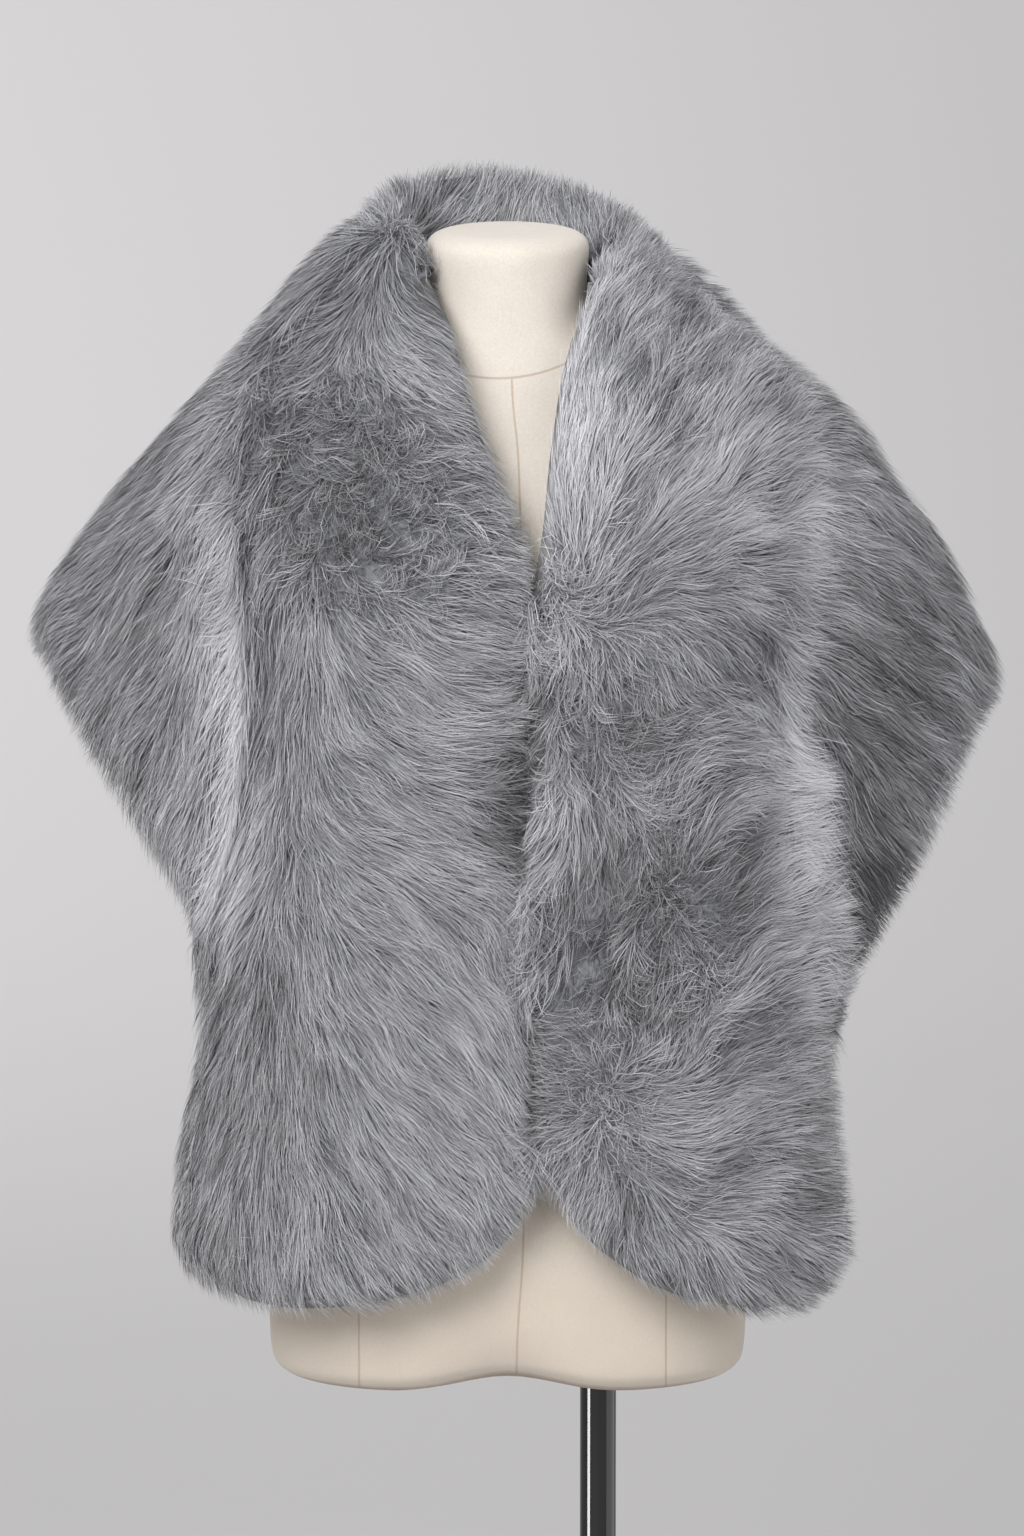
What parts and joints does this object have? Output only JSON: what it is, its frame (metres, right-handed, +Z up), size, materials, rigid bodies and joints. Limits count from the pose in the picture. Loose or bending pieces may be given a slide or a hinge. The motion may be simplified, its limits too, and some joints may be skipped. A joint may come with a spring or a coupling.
{
  "type": "fur collar wrap on dress form stand",
  "caption": "Long-haired fur shawl with a rolled collar, meeting fronts and wide shoulder wings, worn open at the neck by a limbless cloth dress form on a pole and round base.",
  "frame": {"origin": "the middle of the base plate's underside, on the pole's axis", "axes": "+Z up along the pole; the form and the wrap's fronts face -Y; -X is the wearer's right"},
  "size_m": [0.6781, 0.34, 1.577],
  "materials": {
    "fur": "long soft pile, matte with a faint sheen",
    "form_cloth": "brushed cotton, matte",
    "lacquer": "gloss black lacquer"
  },
  "bodies": {
    "root": {"front_right": "fur", "front_left": "fur", "collar": "fur", "wing_right": "fur", "wing_left": "fur", "back": "fur", "dress_form": "form_cloth", "pole": "lacquer", "base_plate": "lacquer"}
  },
  "joints": []
}
